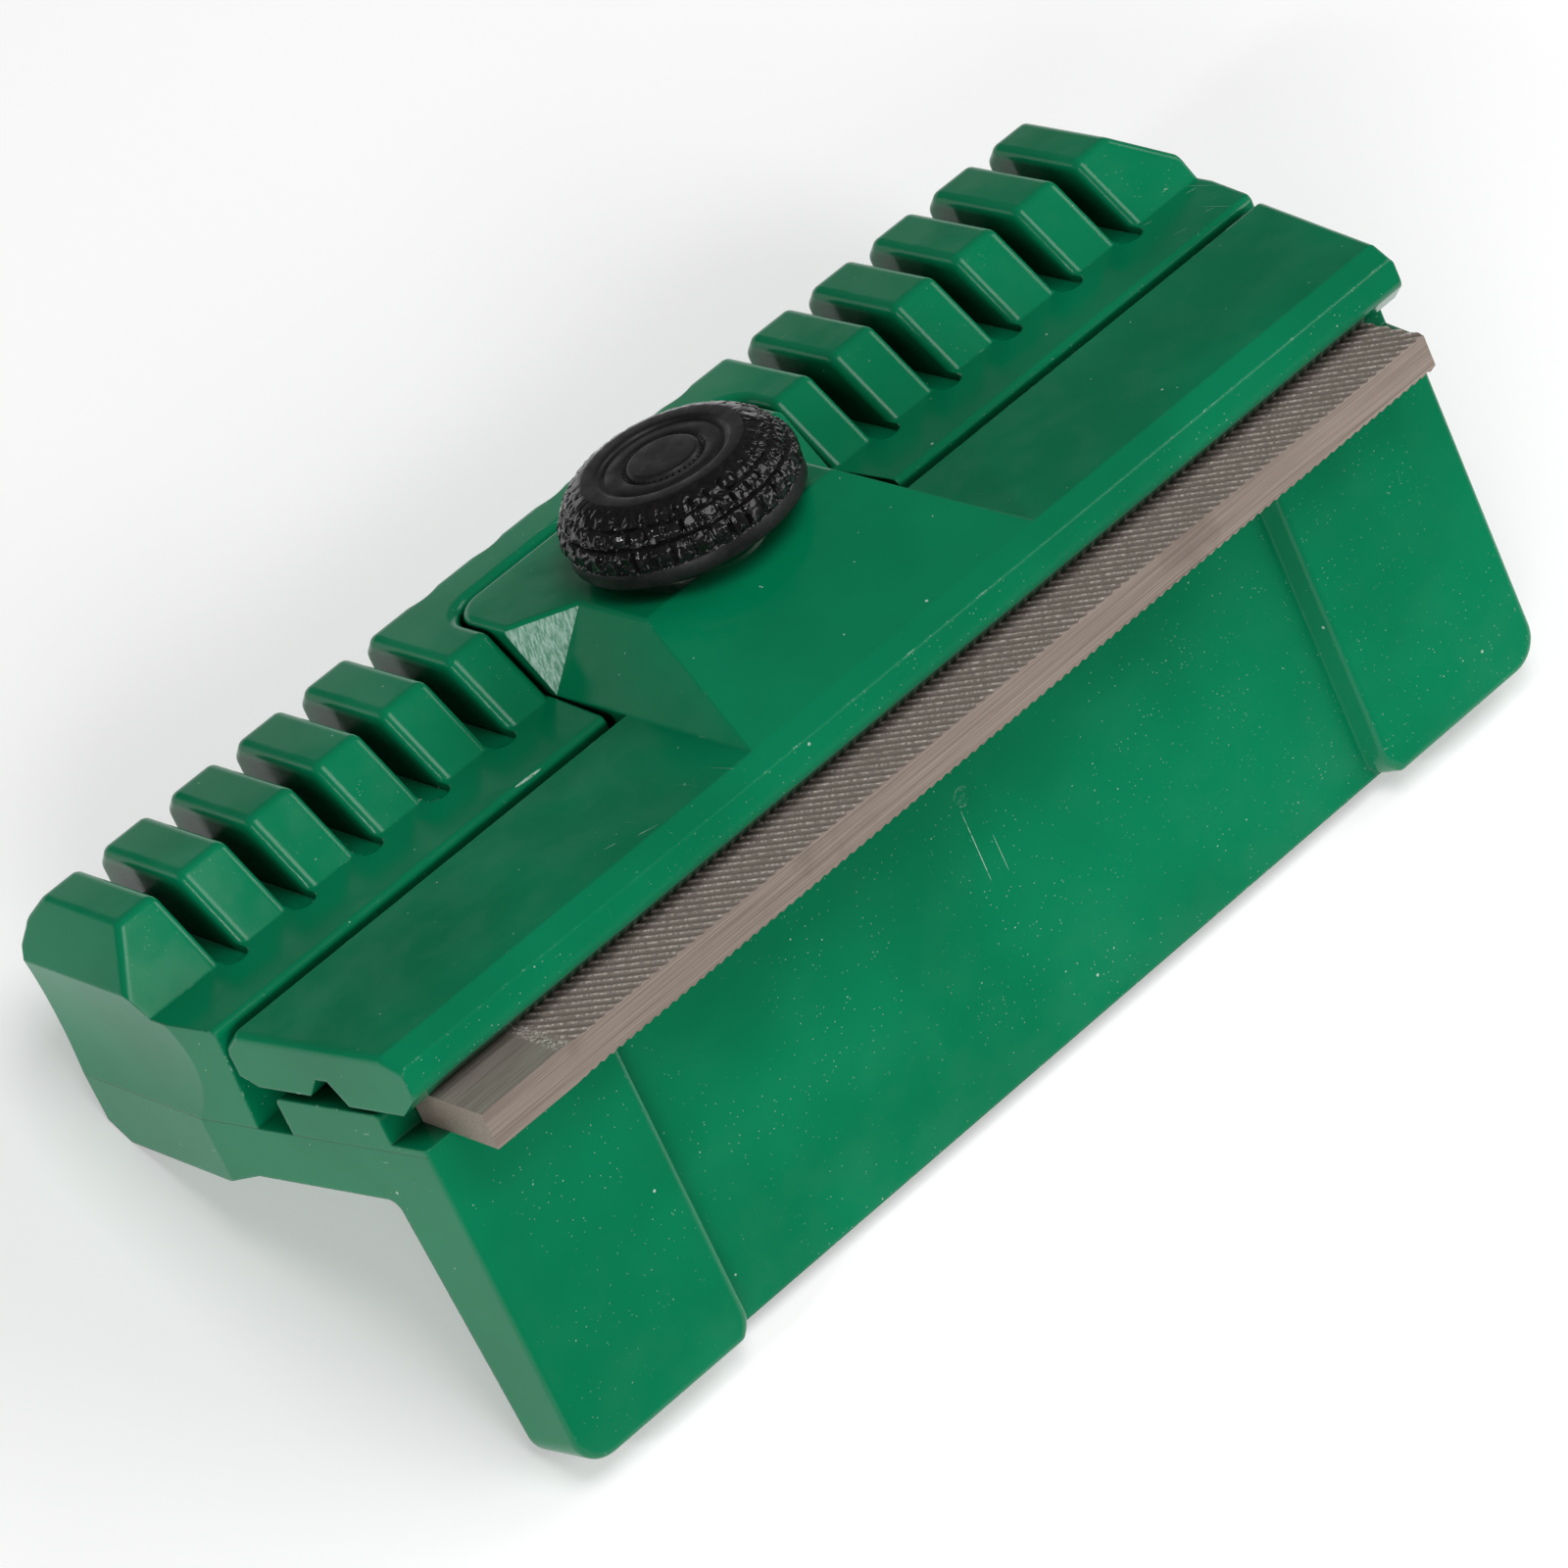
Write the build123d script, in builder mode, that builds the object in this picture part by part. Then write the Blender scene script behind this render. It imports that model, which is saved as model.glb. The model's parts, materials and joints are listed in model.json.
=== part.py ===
"""Guide bar rail dresser: a flat file clamped square to a fence.

Every piece is modelled in the tool's own axes, in millimetres: X runs along the file, Y points
away from the fence's working face and Z stands square to the plate, with Z = 0 on the plate's top
face. The last section leans the pieces into the pose in which the tool rests on a table and puts
the origin at the bottom centre of the whole tool.
"""
import os
from math import atan2, degrees

from build123d import *

os.makedirs("parts", exist_ok=True)

# plan outline, shared by the body and the cover
FRONT_HALF = 75.0            # half length at the fence's working face
FLARE_DEPTH = 35.0           # distance over which the ends flare out
FLARE_SLOPE = 0.158          # sideways growth per millimetre of depth
REAR_HALF = FRONT_HALF + FLARE_SLOPE * FLARE_DEPTH
REAR_Y = 59.3
REAR_CORNER = 1.8
BEYOND = 5.0                 # how far a cutter runs past what it cuts
NEAR = 0.05                  # how close an edge lies to the place it is picked by

# fence
FENCE_DROP = 42.6
FENCE_TOP_THICK = 9.0
FENCE_FOOT_THICK = 7.0
FENCE_CORNER = 4.0
FENCE_EDGE = 0.8
RELIEF_DEPTH = 2.9
RELIEF_FOOT_HALF = 49.5
RELIEF_CREST_HALF = 50.5
RELIEF_CREST_EDGE = 1.0
RELIEF_SINK = 0.4            # how far the relief's corner arcs start below the fence's foot
PAD_CORNER = 3.5

# plate and belly
PLATE_THICK = 7.0
PLATE_REAR_Y = 30.0
PLATE_ROUND = 1.5
BELLY_FRONT_Y = 35.5
BELLY_REAR_Y = 54.6
BELLY_DROP = 8.6
BELLY_EDGE_DROP = 4.8

# seat and spacer bar for the file
SEAT_Z = 0.95
BAR_FRONT_Y = 5.2
BAR_REAR_Y = 20.6
BAR_TOP_Z = 4.8
BAR_EDGE = 0.8
STEP_FOOT_Y = 26.0
STEP_TOP_Y = 25.0

# grip
LEDGE_Z = 12.9
SLOPE_FOOT_Y = 35.4
CREST_Y = 42.2
GRIP_TOP_Z = 20.5
TOP_REAR_Y = 57.0
REAR_FACET = REAR_Y - TOP_REAR_Y
CREST_ROUND = 1.5
END_FACET = 5.0              # 45 degree facet along each end of the grip
RIDGE_EDGE = 1.1
GROOVE_PITCH = 9.8
FIRST_GROOVE = 3             # pitches from the middle to the innermost groove
LAST_GROOVE = 7
GROOVE_HALF = 1.5
GROOVE_FLOOR_Z = 11.9
GROOVE_FRONT_Y = 33.3
FLUTE_RADIUS = 7.0            # scallops in the rear facet behind the slot
FLUTE_DEPTH = 0.5
FLUTE_REACH = 2              # scallops on each side of the middle one
SCOOP_DEPTH = 0.6            # shallow hollow in each end wall, above the plate's top face
SCOOP_TOP_Z = GRIP_TOP_Z - END_FACET

# slot in the grip for the cover's tongue
SLOT_FLOOR_Z = 6.0
SLOT_FRONT_Y = 23.0
SLOT_NECK_Y = 35.0
SLOT_FRONT_HALF = 22.5
SLOT_HALF = 21.7
SLOT_REAR_Y = 50.8
SLOT_CORNER = 4.5

# pockets that thin the grip from below
POCKET = 13.0
POCKET_CORNER = 1.5
POCKET_PITCH = 16.2
POCKET_REACH = 4             # pockets on each side of the middle one
POCKET_Y = 45.0
POCKET_CEILING_Z = 8.0
SLOT_POCKET_CEILING_Z = 2.5  # lower ceiling below the slot
SLOT_POCKET_REACH = 1

# cover
COVER_TOP_Z = 12.9
COVER_FRONT_Y = -2.2
COVER_REAR_Y = 24.4
COVER_FLOOR_Z = 6.1
COVER_ROUND = 1.6
COVER_EDGE = 0.8
COVER_END_EDGE = 0.9
SLANT_REAR_Y = 0.5           # slant along the front of the cover's top
SLANT_FOOT_Z = 11.6
SLANT_EDGE = 0.4
NOSE_Z = 8.0
LIP_Z = 5.45
LIP_FRONT_Y = 0.8
LIP_REAR_Y = 8.9
GROOVE_TOP_FRONT_Y = 10.5
GROOVE_TOP_REAR_Y = 12.3
GROOVE_REAR_Y = 14.3
GROOVE_CEILING_Z = 8.5
HEEL_Y = 22.1
HEEL_Z = 7.3
BEVEL_FRONT_Y = 22.4
BEVEL_FOOT_Z = 11.3
TONGUE_HALF = 21.2
TONGUE_FRONT_Y = 33.0
TONGUE_REAR_Y = 50.2
TONGUE_CORNER = 4.0
TONGUE_FLOOR_Z = 6.0
NECK_FRONT_Y = 20.0
NECK_FLOOR_Z = 6.8
HUMP_REAR_Y = 42.0
HUMP_CREST_Y = 22.6
HUMP_TOP_HALF = 14.2
FACET_FOOT_Y = 35.0
FACET_INNER_Y = 34.3
FACET_OUTER_Y = 40.2
HOLLOW_FRONT_Y = 28.0
HOLLOW_REAR_Y = 43.0
HOLLOW_HALF = 15.5
HOLLOW_RIB = 2.4
HOLLOW_CEILING_Z = 16.5
BOSS_RADIUS = 7.0

# file
FILE_LENGTH = 142.0
FILE_WIDTH = 13.3
FILE_CENTRE_X = -0.6
FILE_REAR_Y = 4.9
FILE_EDGE = 0.25

# clamp screw
SCREW_Y = 30.0
STUD_RADIUS = 3.0
STUD_END_Z = -6.4
STUD_POINT = 0.6
STUD_HOLE_RADIUS = 3.5
HEX_FLATS = 10.0
HEX_RADIUS = HEX_FLATS / 3 ** 0.5
HEAD_THICK = 4.0
NUT_THICK = 5.0
NUT_TOP_Z = -1.4
NUT_BORE_RADIUS = 3.05
NUT_SLACK = 0.1
WASHER_RADIUS = 9.0
WASHER_THICK = 1.6
WASHER_EDGE = 0.3

# knob, with radii and heights above its base
HUB_RADIUS = 7.5
HUB_HEIGHT = 0.5
KNOB_BASE_Z = GRIP_TOP_Z + WASHER_THICK + HUB_HEIGHT
FLANGE_RADIUS = 13.7
FLANGE_HEIGHT = 2.0
KNOB_RADIUS = 13.9
KNOB_WIDEST = 3.2
SHOULDER_RADIUS = 12.3
SHOULDER_HEIGHT = 6.0
RIM_RADIUS = 10.4
KNOB_HEIGHT = 8.1
RING_OUTER_RADIUS = 7.6      # groove round the top
RING_INNER_RADIUS = 6.9
CAP_OUTER_RADIUS = 4.8       # groove round the middle disc
CAP_RADIUS = 4.15
RING_DEPTH = 0.5
HEAD_FOOT = 1.5              # the stud's head starts this far up
HEAD_Z = KNOB_BASE_Z + HEAD_FOOT
KNOB_EDGE = 0.5
TREADS = 38
TREAD_ROWS = ((2.0, 4.6, 13.9), (5.0, 6.3, 12.8), (6.7, 7.7, 11.9))    # bottom, top, radius
TREAD_GAP = 0.6
TREAD_DEPTH = 0.6
ROW_DEPTH = 0.5


def plan_outline(front_y):
    """Flared plan of the tool, from front_y back to the rear wall."""
    front_half = FRONT_HALF + FLARE_SLOPE * front_y
    Polyline(
        (-front_half, front_y),
        (front_half, front_y),
        (REAR_HALF, FLARE_DEPTH),
        (REAR_HALF, REAR_Y - REAR_CORNER),
        (REAR_HALF - REAR_CORNER, REAR_Y),
        (REAR_CORNER - REAR_HALF, REAR_Y),
        (-REAR_HALF, REAR_Y - REAR_CORNER),
        (-REAR_HALF, FLARE_DEPTH),
        close=True,
    )


def long_edges(part, y, z):
    """Edges that run along X through the point (y, z) of the cross section."""
    def near(edge):
        middle = edge.center()
        return abs(middle.Y - y) < NEAR and abs(middle.Z - z) < NEAR
    return part.edges().filter_by(Axis.X).filter_by(near)


# ---- guide body: fence, plate and grip in one moulding ----
with BuildPart() as guide_body:
    # cross section, carried along the whole length
    with BuildSketch(Plane.YZ):
        with BuildLine():
            Polyline(
                (0, -FENCE_DROP),
                (0, SEAT_Z),
                (BAR_FRONT_Y, SEAT_Z),
                (BAR_FRONT_Y, BAR_TOP_Z),
                (BAR_REAR_Y, BAR_TOP_Z),
                (BAR_REAR_Y, 0),
                (STEP_FOOT_Y, 0),
                (STEP_TOP_Y, LEDGE_Z),
                (SLOPE_FOOT_Y, LEDGE_Z),
                (CREST_Y, GRIP_TOP_Z),
                (TOP_REAR_Y, GRIP_TOP_Z),
                (REAR_Y, GRIP_TOP_Z - REAR_FACET),
                (REAR_Y, -BELLY_EDGE_DROP),
                (BELLY_REAR_Y, -BELLY_DROP),
                (BELLY_FRONT_Y, -BELLY_DROP),
                (PLATE_REAR_Y, -PLATE_THICK),
                (FENCE_TOP_THICK, -PLATE_THICK),
                (FENCE_FOOT_THICK, -FENCE_DROP),
                close=True,
            )
        make_face()
    extrude(amount=REAR_HALF + BEYOND, both=True)
    fillet(long_edges(guide_body.part, CREST_Y, GRIP_TOP_Z), CREST_ROUND)
    fillet(long_edges(guide_body.part, TOP_REAR_Y, GRIP_TOP_Z), CREST_ROUND)
    fillet(long_edges(guide_body.part, REAR_Y, GRIP_TOP_Z - REAR_FACET), CREST_ROUND)
    fillet(long_edges(guide_body.part, STEP_TOP_Y, LEDGE_Z), BAR_EDGE)
    fillet(long_edges(guide_body.part, BAR_FRONT_Y, BAR_TOP_Z), BAR_EDGE)
    fillet(long_edges(guide_body.part, BAR_REAR_Y, BAR_TOP_Z), BAR_EDGE)
    fillet(long_edges(guide_body.part, FENCE_TOP_THICK, -PLATE_THICK), PLATE_ROUND)

    # trimmed to the flared plan
    with BuildSketch(Plane.XY.offset(-FENCE_DROP)):
        with BuildLine():
            plan_outline(0)
        make_face()
    extrude(amount=FENCE_DROP + GRIP_TOP_Z, mode=Mode.INTERSECT)

    # 45 degree facets along both ends of the grip
    with BuildSketch(Plane.XZ.offset(-REAR_Y - BEYOND)):
        with BuildLine():
            Polyline(
                (REAR_HALF - END_FACET, GRIP_TOP_Z),
                (REAR_HALF, GRIP_TOP_Z - END_FACET),
                (REAR_HALF + BEYOND, GRIP_TOP_Z),
                close=True,
            )
        make_face()
        mirror(about=Plane.YZ)
    extrude(amount=REAR_Y, mode=Mode.SUBTRACT)

    # shallow hollows in the end walls
    scoop_radius = (SCOOP_TOP_Z ** 2 / 4 + SCOOP_DEPTH ** 2) / (2 * SCOOP_DEPTH)
    with BuildSketch(Plane.XZ.offset(-REAR_Y - BEYOND)):
        for side in (-1, 1):
            with Locations((side * (REAR_HALF - SCOOP_DEPTH + scoop_radius), SCOOP_TOP_Z / 2)):
                Circle(scoop_radius)
    extrude(amount=REAR_Y, mode=Mode.SUBTRACT)

    # slot for the cover's tongue
    with BuildSketch(Plane.XY.offset(SLOT_FLOOR_Z)):
        with BuildLine():
            Polyline(
                (-SLOT_FRONT_HALF, SLOT_FRONT_Y),
                (SLOT_FRONT_HALF, SLOT_FRONT_Y),
                (SLOT_HALF, SLOT_NECK_Y),
                (SLOT_HALF, SLOT_REAR_Y),
                (-SLOT_HALF, SLOT_REAR_Y),
                (-SLOT_HALF, SLOT_NECK_Y),
                close=True,
            )
        slot_face = make_face()
        fillet(slot_face.vertices().group_by(Axis.Y)[-1], SLOT_CORNER)
    extrude(amount=GRIP_TOP_Z, mode=Mode.SUBTRACT)

    # finger grooves, round at the front and open at the rear
    with BuildSketch(Plane.XY.offset(GROOVE_FLOOR_Z)):
        for step in range(FIRST_GROOVE, LAST_GROOVE + 1):
            for x in (-step * GROOVE_PITCH, step * GROOVE_PITCH):
                with Locations((x, GROOVE_FRONT_Y + GROOVE_HALF)):
                    Circle(GROOVE_HALF)
                    Rectangle(2 * GROOVE_HALF, REAR_Y, align=(Align.CENTER, Align.MIN))
    extrude(amount=GRIP_TOP_Z, mode=Mode.SUBTRACT)
    groove_rims = guide_body.edges().filter_by(Axis.Y).filter_by(
        lambda edge: abs(edge.center().Z - GRIP_TOP_Z) < NEAR
    )
    fillet(groove_rims, RIDGE_EDGE)

    # shallow scallops across the rear facet, at the grooves' pitch
    facet_middle = (0, REAR_Y - REAR_FACET / 2, GRIP_TOP_Z - REAR_FACET / 2)
    with BuildSketch(Plane(facet_middle, x_dir=(1, 0, 0), z_dir=(0, -1, 1))):
        for step in range(-FLUTE_REACH, FLUTE_REACH + 1):
            with Locations((step * GROOVE_PITCH, FLUTE_RADIUS - FLUTE_DEPTH)):
                Circle(FLUTE_RADIUS)
    extrude(amount=2 * REAR_FACET, both=True, mode=Mode.SUBTRACT)

    # rounded outer corners of the fence
    foot_edges = guide_body.edges().filter_by(lambda edge: abs(edge.center().Z + FENCE_DROP) < NEAR)
    fillet(foot_edges.group_by(Axis.X)[0] + foot_edges.group_by(Axis.X)[-1], FENCE_CORNER)
    front_rims = guide_body.edges().filter_by(
        lambda edge: abs(edge.center().Y) < NEAR and edge.center().Z < SEAT_Z - NEAR
    )
    fillet(front_rims, FENCE_EDGE)

    # relief between the fence's two pads
    with BuildSketch(Plane.back):
        with BuildLine():
            Polyline(
                (-RELIEF_CREST_HALF, BEYOND),
                (-RELIEF_CREST_HALF, -FENCE_DROP - RELIEF_SINK),
                (-RELIEF_CREST_HALF - BEYOND, -FENCE_DROP - RELIEF_SINK),
                (-RELIEF_CREST_HALF - BEYOND, -FENCE_DROP - BEYOND),
                (RELIEF_CREST_HALF + BEYOND, -FENCE_DROP - BEYOND),
                (RELIEF_CREST_HALF + BEYOND, -FENCE_DROP - RELIEF_SINK),
                (RELIEF_CREST_HALF, -FENCE_DROP - RELIEF_SINK),
                (RELIEF_CREST_HALF, BEYOND),
                close=True,
            )
        relief = make_face()
        fillet(
            relief.vertices().filter_by(
                lambda corner: -FENCE_DROP - BEYOND < corner.Y < 0
                and abs(corner.X) < RELIEF_CREST_HALF + NEAR
            ),
            PAD_CORNER,
        )
    relief_draft = degrees(atan2(RELIEF_CREST_HALF - RELIEF_FOOT_HALF, RELIEF_DEPTH))
    extrude(amount=RELIEF_DEPTH, taper=relief_draft, mode=Mode.SUBTRACT)
    pad_sides = guide_body.edges().filter_by(GeomType.LINE).filter_by(
        lambda edge: abs(edge.center().Y) < NEAR and abs(abs(edge.center().X) - RELIEF_CREST_HALF) < NEAR
    )
    fillet(pad_sides, RELIEF_CREST_EDGE)

    # pockets that keep the moulding's walls even
    for ceiling, reach in (
        (POCKET_CEILING_Z, range(SLOT_POCKET_REACH + 1, POCKET_REACH + 1)),
        (SLOT_POCKET_CEILING_Z, range(0, SLOT_POCKET_REACH + 1)),
    ):
        with BuildSketch(Plane.XY.offset(-BELLY_DROP)):
            for step in reach:
                with Locations((step * POCKET_PITCH, POCKET_Y), (-step * POCKET_PITCH, POCKET_Y)):
                    RectangleRounded(POCKET, POCKET, POCKET_CORNER)
        extrude(amount=BELLY_DROP + ceiling, mode=Mode.SUBTRACT)

    # hexagonal pocket for the nut, and the hole above it for the stud
    with BuildSketch(Plane.XY.offset(NUT_TOP_Z)):
        with Locations((0, SCREW_Y)):
            RegularPolygon(HEX_RADIUS + NUT_SLACK, 6)
    extrude(amount=-BELLY_DROP, mode=Mode.SUBTRACT)
    with Locations((0, SCREW_Y, SLOT_FLOOR_Z)):
        Hole(STUD_HOLE_RADIUS, SLOT_FLOOR_Z - NUT_TOP_Z)


# ---- clamp cover: a bar along the file with a tongue that fills the grip's slot ----
with BuildPart() as clamp_cover:
    # tongue, round at its rear corners
    with BuildSketch(Plane.XY.offset(TONGUE_FLOOR_Z)):
        with Locations((0, TONGUE_FRONT_Y)):
            tongue = Rectangle(
                2 * TONGUE_HALF, TONGUE_REAR_Y - TONGUE_FRONT_Y, align=(Align.CENTER, Align.MIN)
            )
        fillet(tongue.vertices().group_by(Axis.Y)[-1], TONGUE_CORNER)
    extrude(amount=GRIP_TOP_Z - TONGUE_FLOOR_Z)
    for side in (-1, 1):
        along = Vector(side * (TONGUE_HALF - HUMP_TOP_HALF), FACET_OUTER_Y - FACET_INNER_Y, 0)
        down = Vector(
            side * (TONGUE_HALF - HUMP_TOP_HALF), FACET_FOOT_Y - FACET_INNER_Y, COVER_TOP_Z - GRIP_TOP_Z
        )
        inner = (side * HUMP_TOP_HALF, FACET_INNER_Y, GRIP_TOP_Z)
        split(bisect_by=Plane(inner, z_dir=along.cross(down) * side), keep=Keep.TOP)

    # neck between the bar and the tongue
    with BuildSketch(Plane.XY.offset(NECK_FLOOR_Z)):
        with Locations((0, NECK_FRONT_Y)):
            Rectangle(2 * TONGUE_HALF, HUMP_REAR_Y - NECK_FRONT_Y, align=(Align.CENTER, Align.MIN))
    extrude(amount=COVER_TOP_Z - NECK_FLOOR_Z)

    # hump that rises from the bar's front edge to the flat under the knob
    with BuildSketch(Plane.XY.offset(COVER_TOP_Z)):
        with Locations((0, HUMP_REAR_Y)):
            Rectangle(2 * TONGUE_HALF, HUMP_REAR_Y - SLANT_REAR_Y, align=(Align.CENTER, Align.MAX))
    with BuildSketch(Plane.XY.offset(GRIP_TOP_Z)):
        with Locations((0, HUMP_REAR_Y)):
            Rectangle(2 * HUMP_TOP_HALF, HUMP_REAR_Y - HUMP_CREST_Y, align=(Align.CENTER, Align.MAX))
    loft()

    # bar, with a lip that presses on the file and a groove behind the lip
    with BuildSketch(Plane.YZ):
        with BuildLine():
            Polyline(
                (COVER_FRONT_Y, NOSE_Z),
                (COVER_FRONT_Y, SLANT_FOOT_Z),
                (SLANT_REAR_Y, COVER_TOP_Z),
                (BEVEL_FRONT_Y, COVER_TOP_Z),
                (COVER_REAR_Y, BEVEL_FOOT_Z),
                (COVER_REAR_Y, HEEL_Z),
                (HEEL_Y, COVER_FLOOR_Z),
                (GROOVE_REAR_Y, COVER_FLOOR_Z),
                (GROOVE_TOP_REAR_Y, GROOVE_CEILING_Z),
                (GROOVE_TOP_FRONT_Y, GROOVE_CEILING_Z),
                (LIP_REAR_Y, LIP_Z),
                (LIP_FRONT_Y, LIP_Z),
                close=True,
            )
        bar_section = make_face()
        front_corners = bar_section.vertices().sort_by(Axis.X)[0:2].sort_by(Axis.Y)
        fillet(front_corners[0], COVER_ROUND)
        fillet(front_corners[1], SLANT_EDGE)
        fillet(bar_section.vertices().filter_by(lambda corner: corner.X > HEEL_Y), COVER_EDGE)
    extrude(amount=REAR_HALF + BEYOND, both=True)

    # trimmed to the same flared plan as the body
    with BuildSketch():
        with BuildLine():
            plan_outline(COVER_FRONT_Y)
        make_face()
    extrude(amount=GRIP_TOP_Z, mode=Mode.INTERSECT)

    for end_face in (clamp_cover.faces().sort_by(Axis.X)[0], clamp_cover.faces().sort_by(Axis.X)[-1]):
        fillet(end_face.edges().filter_by(lambda edge: edge.center().Z > BEVEL_FOOT_Z), COVER_END_EDGE)

    # hollow under the hump, with a boss round the stud and a middle rib
    with BuildSketch(Plane.XY.offset(TONGUE_FLOOR_Z)):
        with Locations((0, HOLLOW_FRONT_Y)):
            Rectangle(2 * HOLLOW_HALF, HOLLOW_REAR_Y - HOLLOW_FRONT_Y, align=(Align.CENTER, Align.MIN))
            Rectangle(
                HOLLOW_RIB,
                HOLLOW_REAR_Y - HOLLOW_FRONT_Y,
                align=(Align.CENTER, Align.MIN),
                mode=Mode.SUBTRACT,
            )
        with Locations((0, SCREW_Y)):
            Circle(BOSS_RADIUS, mode=Mode.SUBTRACT)
    extrude(amount=HOLLOW_CEILING_Z - TONGUE_FLOOR_Z, mode=Mode.SUBTRACT)

    # only the rear heel of the tongue reaches the slot's floor
    with BuildSketch(Plane.XY.offset(TONGUE_FLOOR_Z)):
        with Locations((0, HOLLOW_REAR_Y)):
            Rectangle(2 * SLOT_FRONT_HALF, HOLLOW_REAR_Y - HEEL_Y, align=(Align.CENTER, Align.MAX))
    extrude(amount=NECK_FLOOR_Z - TONGUE_FLOOR_Z, mode=Mode.SUBTRACT)

    top_rims = clamp_cover.faces().sort_by(Axis.Z)[-1].outer_wire().edges()
    fillet(top_rims, COVER_EDGE)
    with Locations((0, SCREW_Y, GRIP_TOP_Z)):
        Hole(STUD_HOLE_RADIUS, GRIP_TOP_Z - TONGUE_FLOOR_Z)


# ---- flat file ----
with BuildPart() as flat_file:
    with BuildSketch(Plane.XY.offset(SEAT_Z)):
        with Locations((FILE_CENTRE_X, FILE_REAR_Y)):
            Rectangle(FILE_LENGTH, FILE_WIDTH, align=(Align.CENTER, Align.MAX))
    extrude(amount=LIP_Z - SEAT_Z)
    chamfer(flat_file.edges().filter_by(Axis.X), FILE_EDGE)


# ---- washer under the knob ----
with BuildPart() as washer:
    with BuildSketch(Plane.XY.offset(GRIP_TOP_Z)):
        with Locations((0, SCREW_Y)):
            Circle(WASHER_RADIUS)
            Circle(STUD_HOLE_RADIUS, mode=Mode.SUBTRACT)
    extrude(amount=WASHER_THICK)
    outer_rims = washer.edges().filter_by(GeomType.CIRCLE).group_by(SortBy.RADIUS)[-1]
    chamfer(outer_rims, WASHER_EDGE)


# ---- stud with a hexagonal head, moulded into the knob ----
with BuildPart() as knob_stud:
    with BuildSketch(Plane.XY.offset(STUD_END_Z)):
        with Locations((0, SCREW_Y)):
            Circle(STUD_RADIUS)
    extrude(amount=HEAD_Z - STUD_END_Z)
    chamfer(knob_stud.faces().sort_by(Axis.Z)[0].edges(), STUD_POINT)
    with BuildSketch(Plane.XY.offset(HEAD_Z)):
        with Locations((0, SCREW_Y)):
            RegularPolygon(HEX_RADIUS, 6)
    extrude(amount=HEAD_THICK)


# ---- knob: three rows of treads between a smooth flange and a smooth rim ----
with BuildPart() as knob:
    with BuildSketch(Plane.XZ.offset(-SCREW_Y)):
        with BuildLine():
            Polyline(
                (SHOULDER_RADIUS, KNOB_BASE_Z + SHOULDER_HEIGHT),
                (RIM_RADIUS, KNOB_BASE_Z + KNOB_HEIGHT),
                (RING_OUTER_RADIUS, KNOB_BASE_Z + KNOB_HEIGHT),
                (RING_OUTER_RADIUS, KNOB_BASE_Z + KNOB_HEIGHT - RING_DEPTH),
                (RING_INNER_RADIUS, KNOB_BASE_Z + KNOB_HEIGHT - RING_DEPTH),
                (CAP_OUTER_RADIUS, KNOB_BASE_Z + KNOB_HEIGHT - RING_DEPTH / 2),
                (CAP_OUTER_RADIUS, KNOB_BASE_Z + KNOB_HEIGHT - RING_DEPTH),
                (CAP_RADIUS, KNOB_BASE_Z + KNOB_HEIGHT - RING_DEPTH),
                (CAP_RADIUS, KNOB_BASE_Z + KNOB_HEIGHT),
                (0, KNOB_BASE_Z + KNOB_HEIGHT),
                (0, KNOB_BASE_Z - HUB_HEIGHT),
                (HUB_RADIUS, KNOB_BASE_Z - HUB_HEIGHT),
                (HUB_RADIUS, KNOB_BASE_Z),
                (FLANGE_RADIUS, KNOB_BASE_Z),
                (FLANGE_RADIUS, KNOB_BASE_Z + FLANGE_HEIGHT),
            )
            ThreePointArc(
                (FLANGE_RADIUS, KNOB_BASE_Z + FLANGE_HEIGHT),
                (KNOB_RADIUS, KNOB_BASE_Z + KNOB_WIDEST),
                (SHOULDER_RADIUS, KNOB_BASE_Z + SHOULDER_HEIGHT),
            )
        make_face()
    revolve(axis=Axis((0, SCREW_Y, 0), (0, 0, 1)))
    top_rim = knob.edges().filter_by(GeomType.CIRCLE).filter_by(
        lambda edge: abs(edge.radius - RIM_RADIUS) < NEAR
    )
    fillet(top_rim, KNOB_EDGE)

    # treads: every row is notched at the same angles and stands off from the row above it
    for row_bottom, row_top, row_radius in TREAD_ROWS:
        with BuildSketch(Plane.XY.offset(KNOB_BASE_Z + row_bottom)):
            with Locations((0, SCREW_Y)):
                with PolarLocations(row_radius - TREAD_DEPTH, TREADS):
                    Rectangle(BEYOND, TREAD_GAP, align=(Align.MIN, Align.CENTER))
        extrude(amount=row_top - row_bottom, mode=Mode.SUBTRACT)
    for (row_top, row_radius), next_bottom in zip(
        [row[1:] for row in TREAD_ROWS], [row[0] for row in TREAD_ROWS[1:]]
    ):
        with BuildSketch(Plane.XY.offset(KNOB_BASE_Z + row_top)):
            with Locations((0, SCREW_Y)):
                Circle(KNOB_RADIUS + BEYOND)
                Circle(row_radius - ROW_DEPTH, mode=Mode.SUBTRACT)
        extrude(amount=next_bottom - row_top, mode=Mode.SUBTRACT)

    # the stud is moulded in
    add(knob_stud.part, mode=Mode.SUBTRACT)


# ---- nut held in the body's pocket ----
with BuildPart() as captive_nut:
    with BuildSketch(Plane.XY.offset(NUT_TOP_Z - NUT_THICK)):
        with Locations((0, SCREW_Y)):
            RegularPolygon(HEX_RADIUS, 6)
            Circle(NUT_BORE_RADIUS, mode=Mode.SUBTRACT)
    extrude(amount=NUT_THICK)


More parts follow.
